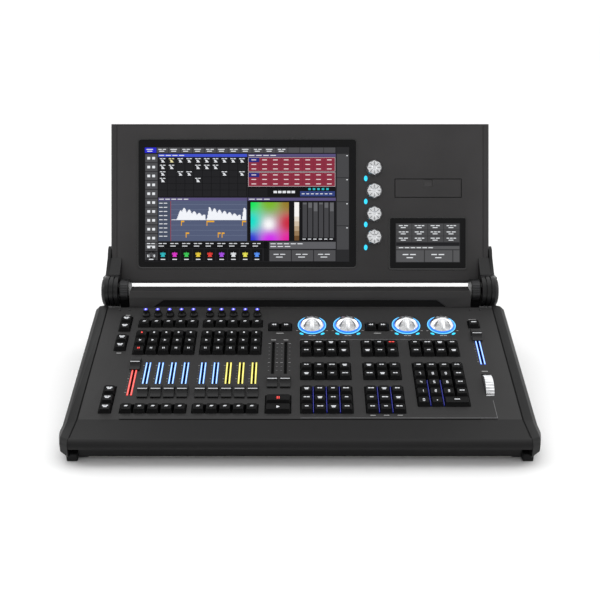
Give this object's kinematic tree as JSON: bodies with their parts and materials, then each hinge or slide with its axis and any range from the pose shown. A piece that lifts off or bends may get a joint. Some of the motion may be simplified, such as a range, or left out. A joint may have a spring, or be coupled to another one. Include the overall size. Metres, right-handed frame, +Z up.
{
  "type": "lighting control desk",
  "caption": "Portable lighting control desk: sloping deck of keys, faders and encoders between two cheeks, with a friction-hinged lid that carries a wide touch screen and a small one.",
  "frame": {"origin": "bottom centre of the whole desk's box with the lid open: on the ground, midway between the cheeks and midway from the front edge to the back of the leaning lid", "axes": "+X to the operator's right, +Y from the operator towards the back, +Z up; the desk stands on its foot rails at Z = 0"},
  "size_m": [0.666, 0.515, 0.3638],
  "materials": {
    "cast_coat": "fine satin charcoal powder coat on castings and the folded steel tray",
    "deck_coat": "fine-textured charcoal powder coat, satin",
    "lid_coat": "smooth charcoal powder coat, satin",
    "key_plastic": "moulded near-black key caps with satin tops and glossier skirts",
    "cap_plastic": "moulded black caps, satin",
    "satin_silver": "satin silver paint on moulded knobs",
    "screen_glass": "black glass front of a touch screen, opaque",
    "board_laminate": "green circuit board laminate",
    "psu_steel": "plain zinc-plated steel case",
    "foot_rubber": "black moulded rubber"
  },
  "bodies": {
    "case": {"bottom_tray": "cast_coat", "top_panel": "deck_coat", "left_cheek": "cast_coat", "right_cheek": "cast_coat", "rear_housing": "deck_coat", "left_foot_rail": "foot_rubber", "right_foot_rail": "foot_rubber", "left_hinge_barrel": "cast_coat", "right_hinge_barrel": "cast_coat", "control_board": "board_laminate", "main_board": "board_laminate", "power_supply": "psu_steel"},
    "lid": {"lid_rear_shell": "lid_coat", "lid_front_panel": "lid_coat", "main_screen": "screen_glass", "side_screen": "screen_glass", "left_hinge_arm": "cast_coat", "right_hinge_arm": "cast_coat"},
    "hatch": {"drive_hatch": "lid_coat"},
    "fader_1": {"playback_fader_1": "cap_plastic"},
    "fader_2": {"playback_fader_2": "cap_plastic"},
    "fader_3": {"playback_fader_3": "cap_plastic"},
    "fader_4": {"playback_fader_4": "cap_plastic"},
    "fader_5": {"playback_fader_5": "cap_plastic"},
    "fader_6": {"playback_fader_6": "cap_plastic"},
    "fader_7": {"playback_fader_7": "cap_plastic"},
    "fader_8": {"playback_fader_8": "cap_plastic"},
    "fader_9": {"playback_fader_9": "cap_plastic"},
    "fader_10": {"playback_fader_10": "cap_plastic"},
    "left_crossfader": {"crossfader_left": "cap_plastic"},
    "right_crossfader": {"crossfader_right": "cap_plastic"},
    "main_fader": {"master_fader": "cap_plastic"},
    "encoder_knob_1": {"encoder_1": "satin_silver"},
    "encoder_knob_2": {"encoder_2": "satin_silver"},
    "encoder_knob_3": {"encoder_3": "satin_silver"},
    "encoder_knob_4": {"encoder_4": "satin_silver"},
    "knob_1": {"playback_knob_1": "cap_plastic"},
    "knob_2": {"playback_knob_2": "cap_plastic"},
    "knob_3": {"playback_knob_3": "cap_plastic"},
    "knob_4": {"playback_knob_4": "cap_plastic"},
    "knob_5": {"playback_knob_5": "cap_plastic"},
    "knob_6": {"playback_knob_6": "cap_plastic"},
    "knob_7": {"playback_knob_7": "cap_plastic"},
    "knob_8": {"playback_knob_8": "cap_plastic"},
    "knob_9": {"playback_knob_9": "cap_plastic"},
    "knob_10": {"playback_knob_10": "cap_plastic"},
    "screen_knob_1": {"screen_encoder_1": "satin_silver"},
    "screen_knob_2": {"screen_encoder_2": "satin_silver"},
    "screen_knob_3": {"screen_encoder_3": "satin_silver"},
    "screen_knob_4": {"screen_encoder_4": "satin_silver"},
    "wheel": {"thumb_wheel": "satin_silver"},
    "playback_key_block": {"playback_keys": "key_plastic"},
    "flash_key_block": {"flash_keys": "key_plastic"},
    "left_column_key_block": {"left_column_keys": "key_plastic"},
    "seek_key_block": {"seek_keys": "key_plastic"},
    "transport_key_block": {"transport_keys": "key_plastic"},
    "programmer_key_block_left": {"programmer_keys_left": "key_plastic"},
    "programmer_key_block_middle": {"programmer_keys_middle": "key_plastic"},
    "programmer_key_block_right": {"programmer_keys_right": "key_plastic"},
    "master_key_cap": {"master_key": "key_plastic"}
  },
  "joints": [
    {"name": "lid_hinge", "type": "hinge", "parent": "case", "child": "lid", "pos_m": [0, 0.09039, 0.11597], "axis": [1, 0, 0], "range_deg": [-12, 126.5]},
    {"name": "hatch_hinge", "type": "hinge", "parent": "lid", "child": "hatch", "pos_m": [0, 0.18026, 0.25063], "axis": [1, 0, 0], "range_deg": [0, 95]},
    {"name": "playback_fader_1_slide", "type": "slide", "parent": "case", "child": "fader_1", "axis": [0, 0.9703, 0.2419], "range_m": [-0.06, 0]},
    {"name": "playback_fader_2_slide", "type": "slide", "parent": "case", "child": "fader_2", "axis": [0, 0.9703, 0.2419], "range_m": [0, 0.06]},
    {"name": "playback_fader_3_slide", "type": "slide", "parent": "case", "child": "fader_3", "axis": [0, 0.9703, 0.2419], "range_m": [0, 0.06]},
    {"name": "playback_fader_4_slide", "type": "slide", "parent": "case", "child": "fader_4", "axis": [0, 0.9703, 0.2419], "range_m": [0, 0.06]},
    {"name": "playback_fader_5_slide", "type": "slide", "parent": "case", "child": "fader_5", "axis": [0, 0.9703, 0.2419], "range_m": [0, 0.06]},
    {"name": "playback_fader_6_slide", "type": "slide", "parent": "case", "child": "fader_6", "axis": [0, 0.9703, 0.2419], "range_m": [0, 0.06]},
    {"name": "playback_fader_7_slide", "type": "slide", "parent": "case", "child": "fader_7", "axis": [0, 0.9703, 0.2419], "range_m": [0, 0.06]},
    {"name": "playback_fader_8_slide", "type": "slide", "parent": "case", "child": "fader_8", "axis": [0, 0.9703, 0.2419], "range_m": [0, 0.06]},
    {"name": "playback_fader_9_slide", "type": "slide", "parent": "case", "child": "fader_9", "axis": [0, 0.9703, 0.2419], "range_m": [0, 0.06]},
    {"name": "playback_fader_10_slide", "type": "slide", "parent": "case", "child": "fader_10", "axis": [0, 0.9703, 0.2419], "range_m": [0, 0.06]},
    {"name": "crossfader_left_slide", "type": "slide", "parent": "case", "child": "left_crossfader", "axis": [0, 0.9703, 0.2419], "range_m": [0, 0.09]},
    {"name": "crossfader_right_slide", "type": "slide", "parent": "case", "child": "right_crossfader", "axis": [0, 0.9703, 0.2419], "range_m": [0, 0.09]},
    {"name": "master_fader_slide", "type": "slide", "parent": "case", "child": "main_fader", "axis": [0, 0.9703, 0.2419], "range_m": [-0.06, 0]},
    {"name": "encoder_1_turn", "type": "hinge", "parent": "case", "child": "encoder_knob_1", "pos_m": [0.0189, 0.01078, 0.0896], "axis": [0, -0.2419, 0.9703], "continuous": true},
    {"name": "encoder_2_turn", "type": "hinge", "parent": "case", "child": "encoder_knob_2", "pos_m": [0.0749, 0.01078, 0.0896], "axis": [0, -0.2419, 0.9703], "continuous": true},
    {"name": "encoder_3_turn", "type": "hinge", "parent": "case", "child": "encoder_knob_3", "pos_m": [0.1677, 0.01078, 0.0896], "axis": [0, -0.2419, 0.9703], "continuous": true},
    {"name": "encoder_4_turn", "type": "hinge", "parent": "case", "child": "encoder_knob_4", "pos_m": [0.2237, 0.01078, 0.0896], "axis": [0, -0.2419, 0.9703], "continuous": true},
    {"name": "playback_knob_1_turn", "type": "hinge", "parent": "case", "child": "knob_1", "pos_m": [-0.2465, 0.03698, 0.09613], "axis": [0, -0.2419, 0.9703], "continuous": true},
    {"name": "playback_knob_2_turn", "type": "hinge", "parent": "case", "child": "knob_2", "pos_m": [-0.22745, 0.03698, 0.09613], "axis": [0, -0.2419, 0.9703], "continuous": true},
    {"name": "playback_knob_3_turn", "type": "hinge", "parent": "case", "child": "knob_3", "pos_m": [-0.2084, 0.03698, 0.09613], "axis": [0, -0.2419, 0.9703], "continuous": true},
    {"name": "playback_knob_4_turn", "type": "hinge", "parent": "case", "child": "knob_4", "pos_m": [-0.18935, 0.03698, 0.09613], "axis": [0, -0.2419, 0.9703], "continuous": true},
    {"name": "playback_knob_5_turn", "type": "hinge", "parent": "case", "child": "knob_5", "pos_m": [-0.1703, 0.03698, 0.09613], "axis": [0, -0.2419, 0.9703], "continuous": true},
    {"name": "playback_knob_6_turn", "type": "hinge", "parent": "case", "child": "knob_6", "pos_m": [-0.1445, 0.03698, 0.09613], "axis": [0, -0.2419, 0.9703], "continuous": true},
    {"name": "playback_knob_7_turn", "type": "hinge", "parent": "case", "child": "knob_7", "pos_m": [-0.12545, 0.03698, 0.09613], "axis": [0, -0.2419, 0.9703], "continuous": true},
    {"name": "playback_knob_8_turn", "type": "hinge", "parent": "case", "child": "knob_8", "pos_m": [-0.1064, 0.03698, 0.09613], "axis": [0, -0.2419, 0.9703], "continuous": true},
    {"name": "playback_knob_9_turn", "type": "hinge", "parent": "case", "child": "knob_9", "pos_m": [-0.08735, 0.03698, 0.09613], "axis": [0, -0.2419, 0.9703], "continuous": true},
    {"name": "playback_knob_10_turn", "type": "hinge", "parent": "case", "child": "knob_10", "pos_m": [-0.0683, 0.03698, 0.09613], "axis": [0, -0.2419, 0.9703], "continuous": true},
    {"name": "screen_encoder_1_turn", "type": "hinge", "parent": "lid", "child": "screen_knob_1", "pos_m": [0.1247, 0.19889, 0.29562], "axis": [0, -0.9239, 0.3827], "continuous": true},
    {"name": "screen_encoder_2_turn", "type": "hinge", "parent": "lid", "child": "screen_knob_2", "pos_m": [0.1247, 0.18408, 0.25987], "axis": [0, -0.9239, 0.3827], "continuous": true},
    {"name": "screen_encoder_3_turn", "type": "hinge", "parent": "lid", "child": "screen_knob_3", "pos_m": [0.1247, 0.16928, 0.22411], "axis": [0, -0.9239, 0.3827], "continuous": true},
    {"name": "screen_encoder_4_turn", "type": "hinge", "parent": "lid", "child": "screen_knob_4", "pos_m": [0.1247, 0.15446, 0.18836], "axis": [0, -0.9239, 0.3827], "continuous": true},
    {"name": "thumb_wheel_turn", "type": "hinge", "parent": "case", "child": "wheel", "pos_m": [0.27485, -0.12209, 0.04071], "axis": [1, 0, 0], "continuous": true},
    {"name": "playback_keys_press", "type": "slide", "parent": "case", "child": "playback_key_block", "axis": [0, 0.2419, -0.9703], "range_m": [0, 0.003], "stiffness_N_per_m": 1500, "springref_m": -0.004},
    {"name": "flash_keys_press", "type": "slide", "parent": "case", "child": "flash_key_block", "axis": [0, 0.2419, -0.9703], "range_m": [0, 0.003], "stiffness_N_per_m": 700, "springref_m": -0.004},
    {"name": "left_column_keys_press", "type": "slide", "parent": "case", "child": "left_column_key_block", "axis": [0, 0.2419, -0.9703], "range_m": [0, 0.003], "stiffness_N_per_m": 600, "springref_m": -0.004},
    {"name": "seek_keys_press", "type": "slide", "parent": "case", "child": "seek_key_block", "axis": [0, 0.2419, -0.9703], "range_m": [0, 0.003], "stiffness_N_per_m": 300, "springref_m": -0.004},
    {"name": "transport_keys_press", "type": "slide", "parent": "case", "child": "transport_key_block", "axis": [0, 0.2419, -0.9703], "range_m": [0, 0.003], "stiffness_N_per_m": 500, "springref_m": -0.004},
    {"name": "programmer_keys_left_press", "type": "slide", "parent": "case", "child": "programmer_key_block_left", "axis": [0, 0.2419, -0.9703], "range_m": [0, 0.003], "stiffness_N_per_m": 1200, "springref_m": -0.004},
    {"name": "programmer_keys_middle_press", "type": "slide", "parent": "case", "child": "programmer_key_block_middle", "axis": [0, 0.2419, -0.9703], "range_m": [0, 0.003], "stiffness_N_per_m": 1000, "springref_m": -0.004},
    {"name": "programmer_keys_right_press", "type": "slide", "parent": "case", "child": "programmer_key_block_right", "axis": [0, 0.2419, -0.9703], "range_m": [0, 0.003], "stiffness_N_per_m": 1200, "springref_m": -0.004},
    {"name": "master_key_press", "type": "slide", "parent": "case", "child": "master_key_cap", "axis": [0, 0.2419, -0.9703], "range_m": [0, 0.003], "stiffness_N_per_m": 150, "springref_m": -0.004}
  ]
}
